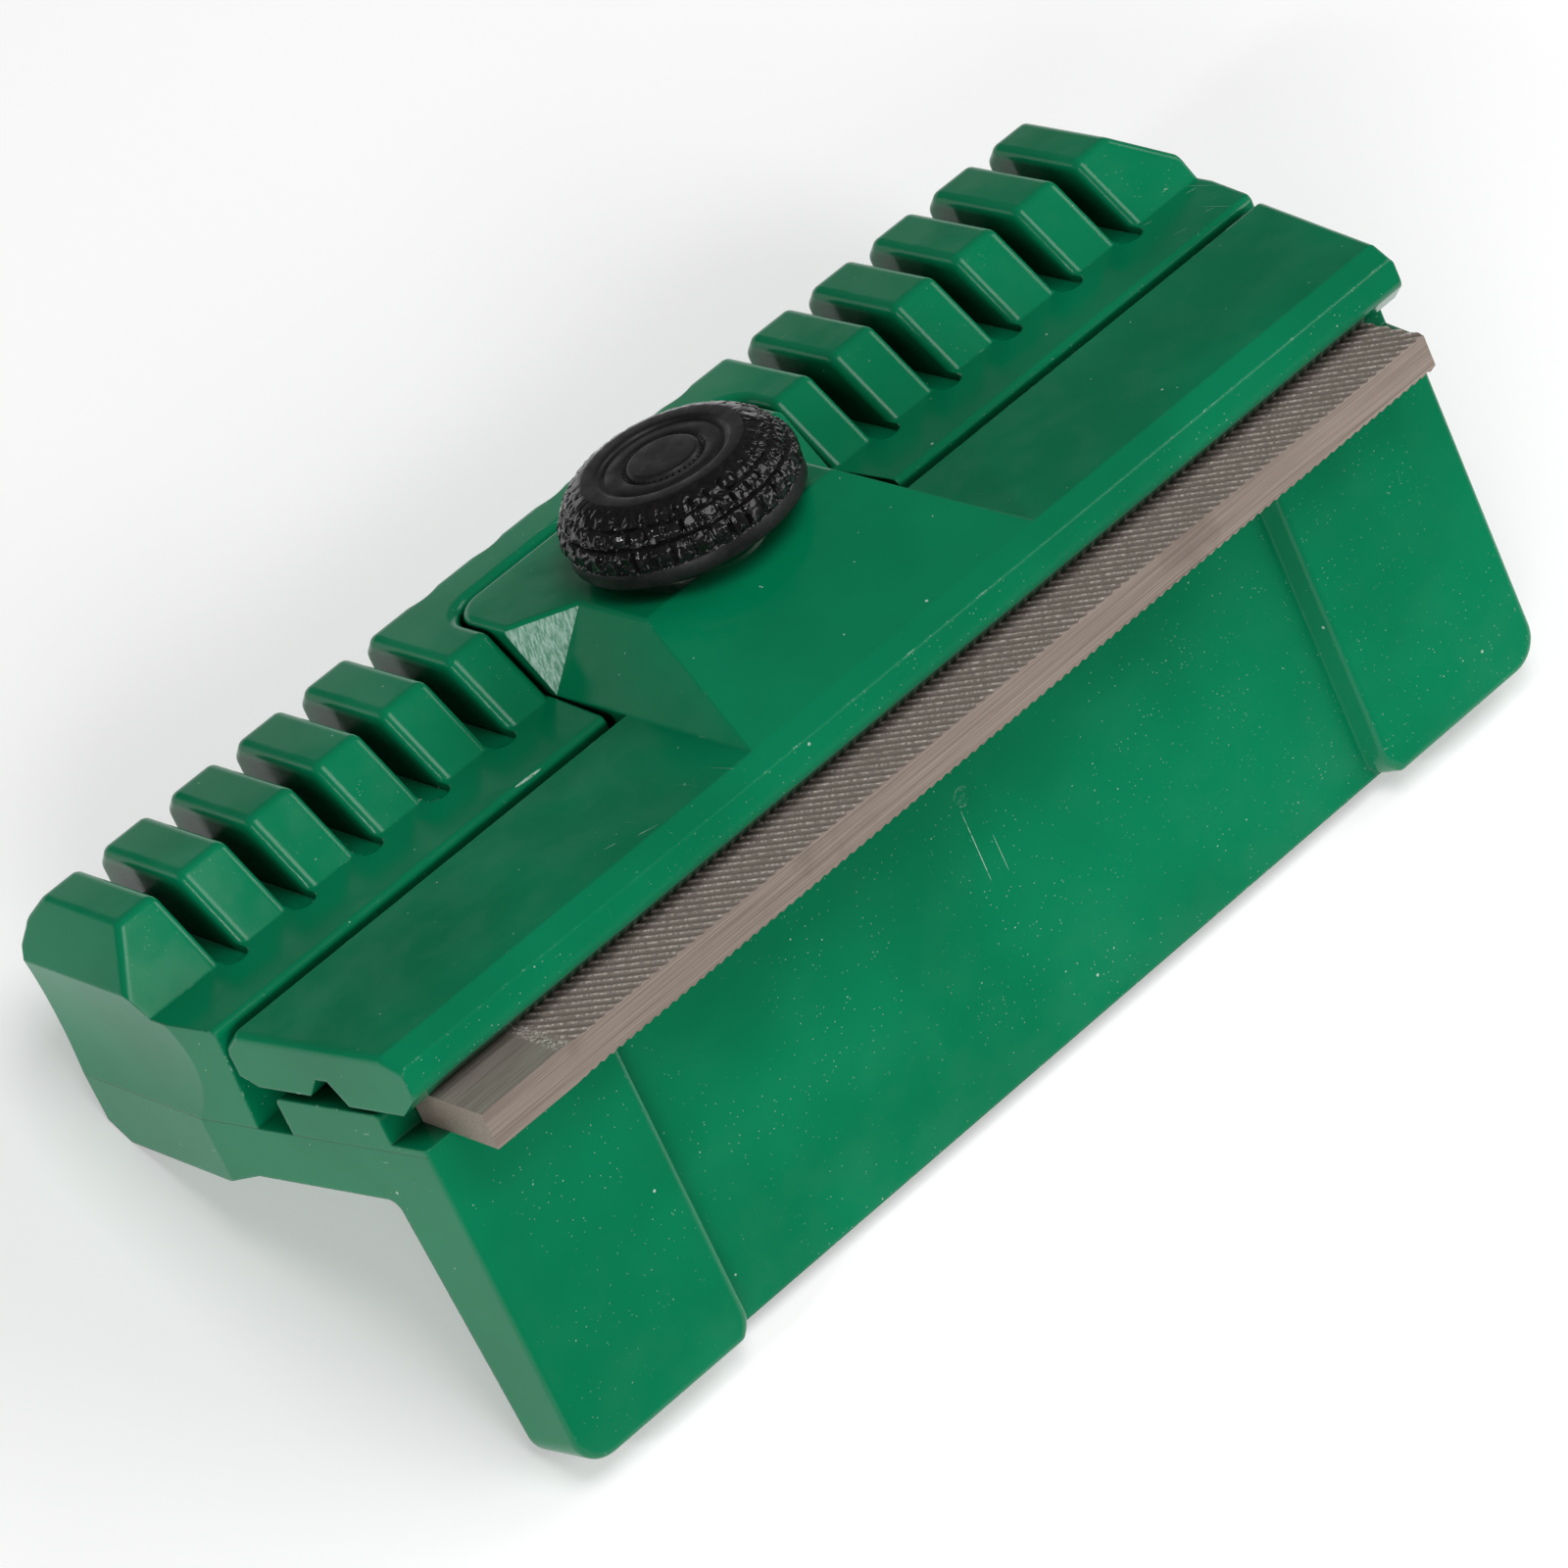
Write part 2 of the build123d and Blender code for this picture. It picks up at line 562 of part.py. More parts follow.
# ---- resting pose: the tool leans on the fence's foot and on the rear edge of the belly ----
lean = degrees(atan2(FENCE_DROP - BELLY_DROP, BELLY_REAR_Y - FENCE_FOOT_THICK))
pieces = {
    "guide_body": guide_body,
    "clamp_cover": clamp_cover,
    "flat_file": flat_file,
    "knob": knob,
    "knob_stud": knob_stud,
    "washer": washer,
    "captive_nut": captive_nut,
}
for piece in pieces.values():
    piece.part = piece.part.moved(Location((0, 0, 0), (-lean, 0, 0)))
boxes = [piece.part.bounding_box() for piece in pieces.values()]
back = -(min(box.min.Y for box in boxes) + max(box.max.Y for box in boxes)) / 2
up = -min(box.min.Z for box in boxes)
for name, piece in pieces.items():
    piece.part = piece.part.moved(Location((0, back, up)))
    piece.part.label = name
    export_step(piece.part, f"parts/{name}.step")
print(f"lean {lean:.3f} degrees, moved by {back:.4f} and {up:.4f} mm")
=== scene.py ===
"""Looks of the guide bar rail dresser: materials, the file's teeth, the knob's tread, light and camera.

Lengths are in millimetres along the tool's own axes (X along the file, Y away from the fence's
working face, Z square to the plate, zero on the plate's top face at the fence's face), and TOOL
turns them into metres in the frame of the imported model.
"""
import json
import math

import bmesh
import bpy
from mathutils import Matrix, Vector, noise


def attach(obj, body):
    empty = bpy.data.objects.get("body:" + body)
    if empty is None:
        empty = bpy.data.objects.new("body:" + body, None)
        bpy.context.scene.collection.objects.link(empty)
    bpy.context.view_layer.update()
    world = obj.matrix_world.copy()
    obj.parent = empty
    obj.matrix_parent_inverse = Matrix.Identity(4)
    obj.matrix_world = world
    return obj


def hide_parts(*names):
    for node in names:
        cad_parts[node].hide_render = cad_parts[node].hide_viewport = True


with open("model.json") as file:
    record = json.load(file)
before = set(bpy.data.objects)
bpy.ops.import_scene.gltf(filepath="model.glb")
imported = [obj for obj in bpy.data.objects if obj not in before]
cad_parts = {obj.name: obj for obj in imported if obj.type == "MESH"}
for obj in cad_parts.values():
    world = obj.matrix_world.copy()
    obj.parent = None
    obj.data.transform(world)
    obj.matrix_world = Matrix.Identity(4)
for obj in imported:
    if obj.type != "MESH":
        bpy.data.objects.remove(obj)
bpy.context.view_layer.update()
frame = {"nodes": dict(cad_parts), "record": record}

MM = 0.001
joints = {joint["name"]: joint for joint in frame["record"]["behaviour"]["joints"]}

# places on the tool, shared with the CAD model
SCREW_Y = 30.0
KNOB_BASE_Z = 22.6
SEAT_Z = 0.95
FILE_TOP_Z = 5.45
FILE_FRONT_Y = -8.4
FILE_REAR_Y = 4.9
FILE_LEFT_X = -71.6
FILE_RIGHT_X = 70.4


def tool_matrix():
    """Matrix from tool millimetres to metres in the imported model's frame."""
    knob = joints["knob_turn"]
    up = Vector(knob["axis"]).normalized()
    right = Vector((1.0, 0.0, 0.0))
    back = up.cross(right)
    origin = Vector(knob["pos_m"]) - MM * (SCREW_Y * back + KNOB_BASE_Z * up)
    turn = Matrix((right, back, up)).transposed()
    return Matrix.Translation(origin) @ (turn * MM).to_4x4()


TOOL = tool_matrix()
TOOL_X, TOOL_Y, TOOL_Z = (TOOL.to_3x3().col[i].normalized() for i in range(3))
FACET_NORMAL = -0.571 * TOOL_X - 0.678 * TOOL_Y + 0.464 * TOOL_Z    # hump's left corner facet

# wear on the body: a chip in the fence, two scratches below it and a scuff along the ledge, each
# stroke given by its start, its end and its width
FENCE_CHIP = (0.8, 2.9, -9.5)
STROKES = (
    ((-0.1, 2.9, -10.8), (-0.2, 2.9, -20.3), 0.12),
    ((2.3, 2.9, -15.6), (2.3, 2.9, -20.6), 0.08),
    ((-35.2, 25.5, 12.8), (-31.0, 25.2, 12.8), 0.45),
)


# ---------------------------------------------------------------- node helpers
class Shader:
    """A node material that is written from the inside out."""

    def __init__(self, name):
        self.material = bpy.data.materials.new(name)
        self.material.use_nodes = True
        self.tree = self.material.node_tree
        self.nodes = self.tree.nodes
        self.surface = self.nodes["Principled BSDF"]
        self.place = self.nodes.new("ShaderNodeTexCoord").outputs["Object"]

    def link(self, value, socket):
        """Feed a socket from another socket, or set it to a plain value."""
        if isinstance(value, bpy.types.NodeSocket):
            self.tree.links.new(value, socket)
        else:
            socket.default_value = value

    def add(self, kind, output=0, inputs=None, **settings):
        """Add a node and return one of its output sockets."""
        node = self.nodes.new("ShaderNode" + kind)
        for key, value in settings.items():
            setattr(node, key, value)
        for key, value in (inputs or {}).items():
            self.link(value, node.inputs[key])
        return node.outputs[output]

    def math(self, operation, first, second=0.0):
        """Result of one operation of the Math node."""
        return self.add("Math", inputs={0: first, 1: second}, operation=operation)

    def times(self, first, second):
        """Product of two values."""
        return self.math("MULTIPLY", first, second)

    def plus(self, first, *others):
        """Sum of the values."""
        total = first
        for other in others:
            total = self.math("ADD", total, other)
        return total

    def highest(self, first, *others):
        """Largest of the values, which joins masks."""
        top = first
        for other in others:
            top = self.math("MAXIMUM", top, other)
        return top

    def normal(self):
        """Normal of the surface as it is shaded, without bump."""
        return self.add("NewGeometry", "Normal")

    def dot(self, vector, direction):
        """How far a vector goes in a direction."""
        return self.add(
            "VectorMath", "Value", {0: vector, 1: tuple(direction)}, operation="DOT_PRODUCT"
        )

    def stretched(self, along, across):
        """Object coordinates with one scale along X and another across it."""
        return self.add("Mapping", inputs={"Vector": self.place, "Scale": (along, across, across)})

    def turned(self, angle, along, across):
        """Object coordinates turned about X then stretched, so that lines run in another direction."""
        turned = self.add(
            "Mapping", inputs={"Vector": self.place, "Rotation": (0.4 * angle, 0.3 * angle, angle)}
        )
        return self.add("Mapping", inputs={"Vector": turned, "Scale": (along, across, across)})

    def noise(self, scale, detail=2.0, roughness=0.5, vector=None):
        """Noise of about 0.5, on the object's coordinates or on others."""
        return self.add(
            "TexNoise",
            "Fac",
            {
                "Vector": vector or self.place,
                "Scale": scale,
                "Detail": detail,
                "Roughness": roughness,
            },
        )

    def ramp(self, value, low, high, to_low=0.0, to_high=1.0):
        """Value from low to high, stretched to to_low to to_high and held beyond them."""
        return self.add(
            "MapRange",
            inputs={0: value, 1: low, 2: high, 3: to_low, 4: to_high},
            interpolation_type="SMOOTHSTEP",
        )

    def mix(self, factor, first, second):
        """Mix of two colours, or of two plain values as greys."""
        node = self.nodes.new("ShaderNodeMix")
        node.data_type = "RGBA"
        self.link(factor, node.inputs["Factor"])
        colours = [socket for socket in node.inputs if socket.type == "RGBA"]
        self.link(first, colours[0])
        self.link(second, colours[1])
        return next(socket for socket in node.outputs if socket.type == "RGBA")

    def specks(self, size, share, radius):
        """Mask of small round specks: size is their spacing, share is how many cells have one."""
        cells = self.nodes.new("ShaderNodeTexVoronoi")
        self.link(self.place, cells.inputs["Vector"])
        cells.inputs["Scale"].default_value = 1.0 / (size * MM)
        near = self.ramp(cells.outputs["Distance"], radius, radius * 0.6)
        chosen = self.math("LESS_THAN", self.dot(cells.outputs["Color"], (1.0, 0.0, 0.0)), share)
        return self.times(near, chosen)

    def away(self, point):
        """Distance from a point on the tool, in millimetres."""
        offset = self.add(
            "VectorMath", inputs={0: self.place, 1: tuple(TOOL @ Vector(point))}, operation="SUBTRACT"
        )
        return self.math("DIVIDE", self.add("VectorMath", "Value", {0: offset}, operation="LENGTH"), MM)

    def stroke(self, start, end, width):
        """Mask of a straight stroke between two points on the tool, given in millimetres."""
        reach = (Vector(end) - Vector(start)).length
        both = self.plus(self.away(start), self.away(end))
        spare = (reach * reach + width * width) ** 0.5
        return self.ramp(both, spare, reach + 0.3 * (spare - reach))

    def rounded(self, radius):
        """Normals that turn smoothly round the mesh's sharp edges."""
        return self.add("Bevel", inputs={"Radius": radius * MM}, samples=6)

    def edges(self, rounded, low, high):
        """Mask of the sharp edges of the mesh, from its rounded normals."""
        both = {0: rounded, 1: self.normal()}
        turn = self.add("VectorMath", "Value", both, operation="DOT_PRODUCT")
        return self.ramp(turn, high, low)

    def bump(self, height, strength, distance, normal=None):
        """Normals of a height, whose full value is a distance in millimetres."""
        inputs = {"Height": height, "Strength": strength, "Distance": distance * MM}
        if normal is not None:
            inputs["Normal"] = normal
        return self.add("Bump", inputs=inputs)

    def set(self, **values):
        """Feed the surface's inputs, named with _ for a space."""
        for key, value in values.items():
            self.link(value, self.surface.inputs[key.replace("_", " ")])


def rgb(red, green, blue):
    """Opaque colour."""
    return (red, green, blue, 1.0)


# ---------------------------------------------------------------- wear of the green mouldings
def dust(shader):
    """Mask of dust: fine and dense on the fence's face, sparse elsewhere, with a few larger crumbs."""
    facing_front = shader.ramp(shader.dot(shader.normal(), -TOOL_Y), 0.6, 0.9)
    cloud = shader.ramp(shader.noise(75.0, 3.0), 0.36, 0.62)
    fine = shader.times(shader.specks(0.55, 0.42, 0.15), shader.times(cloud, facing_front))
    sparse = shader.times(shader.specks(1.7, 0.22, 0.07), cloud)
    crumbs = shader.specks(5.5, 0.30, 0.042)
    return shader.highest(shader.times(fine, 0.7), sparse, crumbs)


def hairlines(shader):
    """Mask of hairline scratches in three directions, only in patches."""
    patches = shader.ramp(shader.noise(28.0), 0.56, 0.66)
    lines = []
    for angle in (0.35, 1.3, 2.4):
        streaks = shader.noise(1.0, 2.0, 0.5, shader.turned(angle, 55.0, 2600.0))
        lines.append(shader.ramp(streaks, 0.735, 0.775))
    return shader.times(shader.highest(*lines), patches)


def nicks_and_glints(shader, rounded):
    """Mask of the sharp edges, broken up and nicked: partly wear, and partly painted highlights along the
    edges.
    """
    broken = shader.ramp(shader.noise(640.0, 4.0, 0.7), 0.56, 0.66)
    patches = shader.ramp(shader.noise(70.0, 2.0), 0.44, 0.56)
    return shader.times(shader.times(shader.edges(rounded, 0.82, 0.97), broken), patches)


def strokes(shader):
    """Mask of the body's own scratches and scuff, frayed by grit."""
    grit = shader.ramp(shader.noise(1600.0, 4.0, 0.7), 0.30, 0.55)
    return shader.times(shader.highest(*[shader.stroke(*stroke) for stroke in STROKES]), grit)


def fence_chip(shader):
    """Height of the chip in the fence, which is negative, and 0 around it."""
    inside = shader.ramp(shader.away(FENCE_CHIP), 1.25, 0.95)
    return shader.times(inside, shader.ramp(shader.noise(1300.0), 0.35, 0.65, -5.0, -16.0))


def parting_line(shader):
    """Mask of the mould's parting line, along the plate's top face on the end walls."""
    level = shader.math("SUBTRACT", shader.dot(shader.place, TOOL_Z), TOOL.translation.dot(TOOL_Z))
    walls = shader.ramp(shader.math("ABSOLUTE", shader.dot(shader.normal(), TOOL_X)), 0.8, 0.95)
    return shader.times(walls, shader.ramp(shader.math("ABSOLUTE", level), 0.12 * MM, 0.04 * MM))


def facet_streaks(shader):
    """Value between 0.2 and 1 that streaks the hump's corner facet."""
    side = FACET_NORMAL.cross(TOOL_Z).normalized()
    across = shader.times(shader.dot(shader.place, side), 3200.0)
    down = shader.times(shader.dot(shader.place, FACET_NORMAL.cross(side)), 700.0)
    streaks = shader.noise(1.0, 4.0, 0.7, shader.add("CombineXYZ", inputs={0: across, 1: down}))
    return shader.ramp(streaks, 0.36, 0.64, 0.2, 1.0)


# ---------------------------------------------------------------- materials
def green_plastic(name, on_body):
    """Glossy green moulding with soft mottling, pale dust, scratches, and pale nicked spots on its edges
    that are partly wear and partly painted highlights.

    The body also has its mould's parting line, a chip and two scratches on the fence and a scuffed
    ledge. The cover has one rough, pale corner facet. On both, narrow grooves and hollows carry painted
    shade: their colour turns dark green where little light reaches.
    """
    shader = Shader(name)
    rounded = shader.rounded(0.45)
    marks_and_glints = shader.highest(dust(shader), nicks_and_glints(shader, rounded), shader.times(hairlines(shader), 0.45))
    if on_body:
        marks_and_glints = shader.highest(marks_and_glints, strokes(shader))

    mottle = shader.ramp(shader.noise(38.0, 3.0), 0.35, 0.65)
    colour = shader.mix(mottle, rgb(0.0006, 0.172, 0.072), rgb(0.0012, 0.205, 0.088))
    # pale colour of dust, scratches and worn edges, which on the sharp edges is partly painted highlight
    colour = shader.mix(shader.times(marks_and_glints, 0.75), colour, rgb(0.50, 0.66, 0.56))
    # painted shade: the colour turns dark green where ambient occlusion finds little open space, as in
    # narrow grooves and hollows
    open_air = shader.add("AmbientOcclusion", "AO", {"Distance": 6.0 * MM}, samples=8)
    colour = shader.mix(shader.ramp(open_air, 0.12, 0.55), rgb(0.001, 0.018, 0.008), colour)

    grain = shader.noise(1100.0, 3.0, 0.6)
    wave = shader.noise(110.0)
    height = shader.plus(shader.times(grain, 0.5), shader.times(marks_and_glints, 1.5), shader.times(wave, 2.0))
    roughness = shader.ramp(shader.noise(160.0, 4.0, 0.6), 0.3, 0.7, 0.09, 0.20)
    roughness = shader.plus(roughness, shader.times(marks_and_glints, 0.3))

    if on_body:
        parting = parting_line(shader)
        colour = shader.mix(shader.times(parting, 0.5), colour, rgb(0.001, 0.05, 0.022))
        height = shader.plus(height, fence_chip(shader), shader.times(parting, -6.0))
    else:
        facet = shader.ramp(shader.dot(shader.normal(), FACET_NORMAL), 0.985, 0.995)
        pale = shader.times(facet, facet_streaks(shader))
        colour = shader.mix(shader.times(pale, 0.6), colour, rgb(0.62, 0.80, 0.74))
        height = shader.plus(height, shader.times(pale, 6.0))
        roughness = shader.plus(roughness, shader.times(facet, 0.25))

    shader.set(
        Base_Color=colour,
        Roughness=roughness,
        IOR=1.35,
        Normal=shader.bump(height, 0.25, 0.02, rounded),
    )
    return shader.material


def toothed_steel():
    """Dark file steel whose tooth crests are worn bright."""
    shader = Shader("toothed_steel")
    height = shader.dot(shader.place, TOOL_Z)
    grain = shader.noise(2500.0, 4.0, 0.7)
    top = (TOOL @ Vector((0.0, 0.0, FILE_TOP_Z))).dot(TOOL_Z)
    crest = shader.ramp(height, top - 0.25 * MM, top - 0.02 * MM)
    bright = shader.times(crest, shader.ramp(grain, 0.4, 0.7))

    # the end without teeth is plain ground steel
    along = shader.dot(shader.place, TOOL_X)
    toothed = shader.ramp(along, (TEETH_START_X - 0.5) * MM, TEETH_START_X * MM)
    streak = shader.noise(1.0, 4.0, 0.6, shader.stretched(90.0, 3500.0))
    ground = shader.ramp(streak, 0.3, 0.7, 0.0, 0.22)
    bright = shader.mix(toothed, ground, bright)
    colour = shader.mix(bright, rgb(0.25, 0.205, 0.18), rgb(0.95, 0.85, 0.78))
    shader.set(
        Base_Color=colour,
        Metallic=0.3,
        Roughness=0.45,
        Normal=shader.bump(shader.times(grain, toothed), 0.5, 0.05),
    )
    return shader.material


def brushed_edge_steel():
    """The file's smooth edge, brushed along its length."""
    shader = Shader("brushed_edge_steel")
    streak = shader.noise(1.0, 5.0, 0.65, shader.stretched(45.0, 6000.0))
    stain = shader.noise(120.0, 3.0, 0.6)
    brushed = shader.ramp(streak, 0.3, 0.7)
    colour = shader.mix(brushed, rgb(0.235, 0.185, 0.155), rgb(0.42, 0.345, 0.295))
    colour = shader.mix(shader.ramp(stain, 0.55, 0.75, 0.0, 0.35), colour, rgb(0.17, 0.125, 0.10))
    shader.set(
        Base_Color=colour,
        Metallic=0.6,
        Roughness=0.48,
        Normal=shader.bump(streak, 0.35, 0.03),
    )
    return shader.material


def black_plastic(name, glossy):
    """Black moulding: matte on top and on the flange, glossy and lumpy in its tread."""
    shader = Shader(name)
    grain = shader.noise(1400.0, 4.0, 0.65)
    greyed = shader.ramp(grain, 0.35, 0.75)
    colour = shader.mix(greyed, rgb(0.005, 0.0045, 0.005), rgb(0.012, 0.0105, 0.0115))
    dullest, shiniest = (0.22, 0.10) if glossy else (0.55, 0.40)
    roughness = shader.ramp(shader.noise(500.0, 3.0), 0.35, 0.65, dullest, shiniest)
    fine = shader.bump(grain, 0.2, 0.03)
    lumps = shader.noise(700.0, 2.0, 0.5)
    shader.set(
        Base_Color=colour,
        Roughness=roughness,
        IOR=1.38,
        Normal=shader.bump(lumps, 0.25, 0.15, fine) if glossy else fine,
    )
    return shader.material


def plated_steel():
    """Zinc-plated steel with a fine uneven sheen."""
    shader = Shader("plated_steel")
    grain = shader.noise(700.0, 4.0, 0.6)
    colour = shader.mix(shader.ramp(grain, 0.3, 0.7), rgb(0.42, 0.42, 0.40), rgb(0.60, 0.60, 0.57))
    shader.set(
        Base_Color=colour,
        Metallic=1.0,
        Roughness=shader.ramp(grain, 0.3, 0.7, 0.28, 0.42),
        Normal=shader.bump(grain, 0.1, 0.02),
    )
    return shader.material


# ---------------------------------------------------------------- mesh helpers
def new_piece(name, mesh, materials, body):
    """Make a piece from a bmesh, with its materials and body."""
    data = bpy.data.meshes.new(name)
    mesh.to_mesh(data)
    mesh.free()
    piece = bpy.data.objects.new(name, data)
    bpy.context.scene.collection.objects.link(piece)
    for material in materials:
        data.materials.append(material)
    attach(piece, body)
    return piece


def shade(piece, angle):
    """Smooth shading with sharp edges above the angle, in degrees."""
    for polygon in piece.data.polygons:
        polygon.use_smooth = True
    piece.data.set_sharp_from_angle(angle=math.radians(angle))


# ---------------------------------------------------------------- file with cut teeth
TOOTH_PITCH = 1.3            # along X
TOOTH_DEPTH = 0.32
TOOTH_SHEAR = 0.53           # how far a tooth moves along X for each millimetre towards the front
TOOTH_FACE = 0.22            # share of the pitch taken by the steep side
TOOTH_WEAR = 0.06            # most that uneven wear takes off the teeth
LOWER_DEPTH = 0.8            # depth of the teeth below, as a share of those on top
TEETH_START_X = -60.5
TEETH_FADE = 2.0 * TOOTH_PITCH    # the first teeth grow to their full depth over this length
TEETH_ACROSS = 14            # steps of the mesh across the file
SPARE = 10.0                 # length made beyond each end and then cut off square


def tooth_height(along):
    """Height of the tooth profile, from 0 in the valley to 1 at the crest."""
    share = along % 1.0
    if share < TOOTH_FACE:
        return share / TOOTH_FACE
    return 1.0 - (share - TOOTH_FACE) / (1.0 - TOOTH_FACE)


def file_mesh():
    """Closed bar whose top and bottom carry slanting saw-shaped teeth."""
    mesh = bmesh.new()
    first = FILE_LEFT_X - SPARE
    count = int((FILE_RIGHT_X + SPARE - first) / TOOTH_PITCH)
    shares = (0.0, TOOTH_FACE, 0.6)    # valley, crest and a place on the long side of each tooth
    rings = []
    for tooth in range(count):
        for share in shares:
            station = first + (tooth + share) * TOOTH_PITCH
            ring = []
            for side, level in ((1, FILE_TOP_Z), (-1, SEAT_Z)):
                for step in range(TEETH_ACROSS + 1):
                    across = step / TEETH_ACROSS if side > 0 else 1.0 - step / TEETH_ACROSS
                    y = FILE_FRONT_Y + across * (FILE_REAR_Y - FILE_FRONT_Y)
                    x = station - TOOTH_SHEAR * (y - FILE_FRONT_Y)
                    cut = TOOTH_DEPTH * (1.0 - tooth_height(share))
                    fade = min(1.0, max(0.0, (x - TEETH_START_X) / TEETH_FADE))
                    wobble = 0.5 + 0.5 * noise.noise(Vector((x * 0.9, y * 0.9, 7.0 * side)))
                    drop = (cut + TOOTH_WEAR * wobble) * fade
                    if side < 0:
                        drop *= LOWER_DEPTH
                    place = Vector((x, y, level - side * drop))
                    ring.append(mesh.verts.new(TOOL @ place))
            rings.append(ring)
    for ring, following in zip(rings, rings[1:]):
        for i in range(len(ring)):
            j = (i + 1) % len(ring)
            mesh.faces.new((ring[i], ring[j], following[j], following[i]))
    for x, outward in ((FILE_LEFT_X, -1.0), (FILE_RIGHT_X, 1.0)):
        geometry = mesh.verts[:] + mesh.edges[:] + mesh.faces[:]
        cut = bmesh.ops.bisect_plane(
            mesh,
            geom=geometry,
            plane_co=TOOL @ Vector((x, 0.0, 0.0)),
            plane_no=outward * TOOL_X,
            clear_outer=True,
        )
        rim = [item for item in cut["geom_cut"] if isinstance(item, bmesh.types.BMEdge)]
        bmesh.ops.contextual_create(mesh, geom=rim)
    bmesh.ops.recalc_face_normals(mesh, faces=mesh.faces)
    for face in mesh.faces:
        upright = abs(face.normal.dot(TOOL_Z)) < 0.5
        if upright:
            face.material_index = 1
    return mesh


# ---------------------------------------------------------------- knob with a rough tread
TREADS = 38
STEPS_PER_TREAD = 12
TREAD_ROWS = ((2.0, 4.65), (4.95, 6.35), (6.65, 7.6))    # bottom and top of each row
TREAD_GAP = 0.13             # half width of the notch between treads, as a share of the pitch
TREAD_DEPTH = 0.6            # depth of the notch
TREAD_LIP = 0.12             # height of the lip beside each notch
ROW_SHIFT = 0.08             # turn of each row against the row below, as a share of the pitch
KNOB_RING = 0.14             # step along the tread's outline
FLAT = 1.05                  # size of the tilted flats that make the tread's skin
FLAT_DEPTH = 0.34            # most that a flat stands back


def tread_outline():
    """Radius and height up the tread, through two hollows between its three rows."""
    corners = [
        (13.65, 2.0), (13.9, 2.5), (13.95, 3.2), (13.85, 4.0), (13.55, 4.6), (12.95, 4.72), (12.85, 4.88),
        (13.1, 5.0), (12.95, 5.6), (12.45, 6.3), (11.95, 6.42), (11.8, 6.56), (11.95, 6.7), (11.5, 7.2),
        (10.85, 7.6), (10.45, 7.8), (10.0, 8.0), (9.8, 8.06),
    ]
    points = []
    for (radius, height), (next_radius, next_height) in zip(corners, corners[1:]):
        wider = next_radius - radius
        higher = next_height - height
        steps = max(1, round(math.hypot(wider, higher) / KNOB_RING))
        for step in range(steps):
            share = step / steps
            points.append((radius + share * wider, height + share * higher))
    return points


def knob_profile():
    """Radius and height of the knob's outline, from the hub below to the middle of the top."""
    below = [
        (3.6, -0.5), (7.5, -0.5), (7.5, 0.0), (13.0, 0.0), (13.5, 0.12), (13.7, 0.45), (13.7, 1.85),
    ]
    rim = [
        (9.4, 8.1), (8.0, 8.1), (7.7, 8.05), (7.5, 7.85), (7.35, 7.65), (7.0, 7.6), (6.85, 7.7),
        (6.7, 7.82),
    ]
    middle = [
        (5.2, 7.8), (4.9, 7.7), (4.75, 7.5), (4.4, 7.45), (4.3, 7.6), (4.2, 7.9), (4.0, 8.05),
        (3.7, 8.1), (2.0, 8.08),
    ]
    return below + tread_outline() + rim + middle


def tread_push(angle, height):
    """How far the tread stands back at a place on the knob's side, in millimetres."""
    for row, (bottom, top) in enumerate(TREAD_ROWS):
        if bottom <= height <= top:
            turn = angle * TREADS / math.tau + ROW_SHIFT * row
            number = math.floor(turn)
            around = turn - number
            gap = min(around, 1.0 - around)
            fade = min(1.0, 3.5 * (height - bottom), 3.5 * (top - height))
            notch = max(0.0, 1.0 - gap / TREAD_GAP) ** 0.6
            lip = max(0.0, 1.0 - abs(gap - 1.5 * TREAD_GAP) / (0.6 * TREAD_GAP))
            depth = TREAD_DEPTH * (0.75 + 0.5 * noise.noise(Vector((number * 1.7, row * 3.1, 0.5))))
            return fade * (depth * notch - TREAD_LIP * lip)
    return 0.0


def flat_depth(place):
    """Depth of the tread's rough skin: each cell round a random centre is a plane with its own tilt."""
    centre = noise.voronoi(place / FLAT)[1][0]
    tilt = noise.cell_vector(31.7 * centre) - Vector((0.5, 0.5, 0.5))
    return FLAT_DEPTH * min(1.0, max(0.0, 0.45 + 1.6 * tilt.dot(place / FLAT - centre)))


def knob_mesh():
    """Closed turned body with three rows of uneven treads."""
    mesh = bmesh.new()
    steps = TREADS * STEPS_PER_TREAD
    tread = tread_outline()
    profile = knob_profile()
    rings = []
    for radius, height in profile:
        rough = (radius, height) in tread[1:]
        ring = []
        for step in range(steps):
            angle = math.tau * step / steps
            spread = Vector((math.cos(angle), math.sin(angle), 0.0))
            reach = radius - tread_push(angle, height)
            if rough:
                reach -= flat_depth(radius * spread + Vector((0.0, 0.0, height)))
            place = Vector((0.0, SCREW_Y, KNOB_BASE_Z + height)) + reach * spread
            ring.append(mesh.verts.new(TOOL @ place))
        rings.append(ring)
    for point, ring, following in zip(profile, rings, rings[1:]):
        slot = int(point in tread)
        for i in range(steps):
            j = (i + 1) % steps
            face = mesh.faces.new((ring[i], ring[j], following[j], following[i]))
            face.material_index = slot
    mesh.faces.new(rings[0])
    mesh.faces.new(rings[-1])
    bmesh.ops.recalc_face_normals(mesh, faces=mesh.faces)
    return mesh


# ---------------------------------------------------------------- build the looks
GREEN = green_plastic("green_moulding", on_body=True)
COVER_GREEN = green_plastic("green_cover", on_body=False)
BLACK = (black_plastic("black_plastic", glossy=False), black_plastic("black_tread", glossy=True))
PLATED = plated_steel()

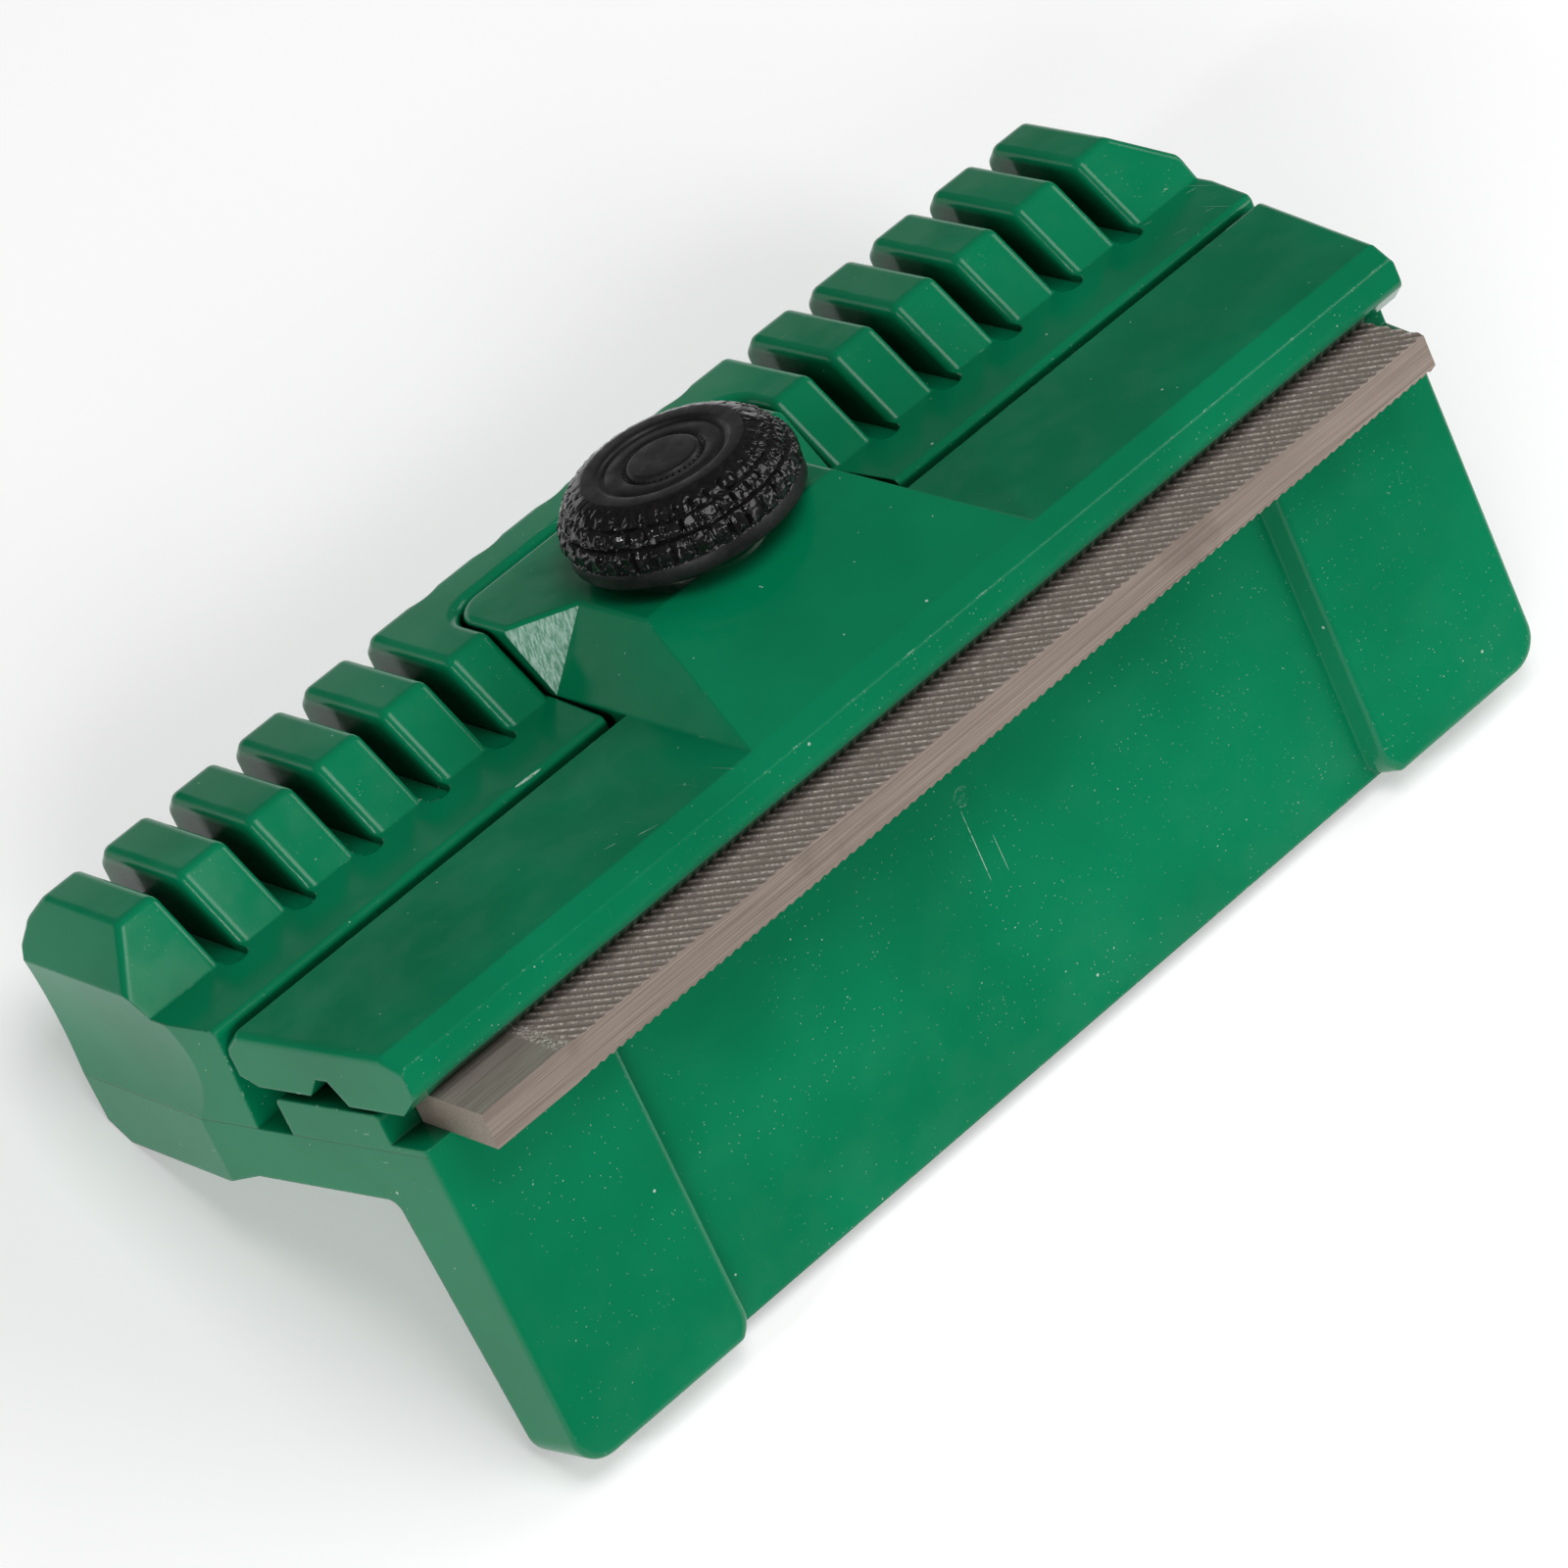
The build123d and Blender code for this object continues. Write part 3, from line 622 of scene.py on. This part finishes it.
for node, material in (
    ("guide_body", GREEN),
    ("clamp_cover", COVER_GREEN),
    ("knob_stud", PLATED),
    ("washer", PLATED),
    ("captive_nut", PLATED),
):
    cad = frame["nodes"][node]
    cad.data.materials.clear()
    cad.data.materials.append(material)

STEEL = (toothed_steel(), brushed_edge_steel())
file_piece = new_piece("cut_file", file_mesh(), STEEL, "file")
shade(file_piece, 20.0)
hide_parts("flat_file")

knob_piece = new_piece("treaded_knob", knob_mesh(), BLACK, "screw")
shade(knob_piece, 50.0)
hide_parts("knob")


# ---------------------------------------------------------------- floor, light and camera
FLOOR_REACH = 3.0            # half of its side, in metres
BRIGHT_REACH = 0.15          # the floor is pale up to here, and painted shade darkens it beyond
GREY_REACH = 0.36            # its colour is painted dark as shade from here on
GLOW_REACH = 0.30            # and its glow has gone here
GLOW = 0.22                  # strength of its glow under the tool

LIGHT_AIM = (0.0, 0.0, 0.02)
LIGHTS = (                   # name, place and size in metres, power in watts
    ("overhead", (0.0, 0.0, 0.9), 0.45, 3.1),
    ("right", (0.72, 0.0, 0.54), 0.45, 2.1),
    ("left", (-0.80, 0.05, 0.41), 0.08, 1.2),
    ("front_left", (-0.56, -0.56, 0.43), 0.45, 3.0),
    ("front_right", (0.56, -0.56, 0.43), 0.45, 2.6),
)
SURROUNDINGS = 0.12          # strength of the white light from all round

CAMERA_PLACE = (-361.5, -630.6, 396.8)    # tool millimetres, as is the aim
CAMERA_AIM = (-14.67, 9.25, 1.96)
CAMERA_ROLL = 5.406          # degrees
LENS = 180.13                # focal length in millimetres


def floor():
    """Plain floor: pale and faintly glowing under the tool, with painted shade that darkens its colour
    far away.
    """
    mesh = bmesh.new()
    bmesh.ops.create_grid(mesh, x_segments=1, y_segments=1, size=FLOOR_REACH)
    data = bpy.data.meshes.new("floor")
    mesh.to_mesh(data)
    mesh.free()
    plane = bpy.data.objects.new("floor", data)
    bpy.context.scene.collection.objects.link(plane)
    shader = Shader("pale_floor")
    far = shader.add("VectorMath", "Value", {0: shader.place}, operation="LENGTH")
    # painted shade: the floor's colour turns dark away from the tool
    far_shade = shader.ramp(far, BRIGHT_REACH, GREY_REACH)
    shader.set(
        Base_Color=shader.mix(far_shade, rgb(0.80, 0.80, 0.80), rgb(0.10, 0.10, 0.10)),
        Roughness=0.8,
        Emission_Color=rgb(1.0, 1.0, 1.0),
        Emission_Strength=shader.ramp(far, BRIGHT_REACH, GLOW_REACH, GLOW, 0.0),
    )
    data.materials.append(shader.material)


def area_light(name, place, size, power):
    """Soft square light that faces the tool."""
    data = bpy.data.lights.new(name, "AREA")
    data.shape = "SQUARE"
    data.size = size
    data.energy = power
    lamp = bpy.data.objects.new(name, data)
    lamp.location = place
    lamp.rotation_euler = (Vector(LIGHT_AIM) - Vector(place)).to_track_quat("-Z", "Y").to_euler()
    bpy.context.scene.collection.objects.link(lamp)


def studio():
    """Dim surroundings, large soft lights over, right and in front, and a small one on the left."""
    world = bpy.data.worlds.new("studio")
    bpy.context.scene.world = world
    world.use_nodes = True
    background = world.node_tree.nodes["Background"]
    background.inputs["Color"].default_value = rgb(1.0, 1.0, 1.0)
    background.inputs["Strength"].default_value = SURROUNDINGS
    for light in LIGHTS:
        area_light(*light)


def camera():
    """Camera at the viewing angle, over the tool's left front corner."""
    data = bpy.data.cameras.new("camera")
    data.lens = LENS
    data.clip_start = 0.05
    eye = bpy.data.objects.new("camera", data)
    place = TOOL @ Vector(CAMERA_PLACE)
    aim = TOOL @ Vector(CAMERA_AIM)
    level = (aim - place).to_track_quat("-Z", "Y").to_matrix().to_4x4()
    roll = Matrix.Rotation(math.radians(CAMERA_ROLL), 4, "Z")
    eye.matrix_world = Matrix.Translation(place) @ level @ roll
    bpy.context.scene.collection.objects.link(eye)
    bpy.context.scene.camera = eye


floor()
studio()
camera()
bpy.context.scene.view_settings.view_transform = "Standard"
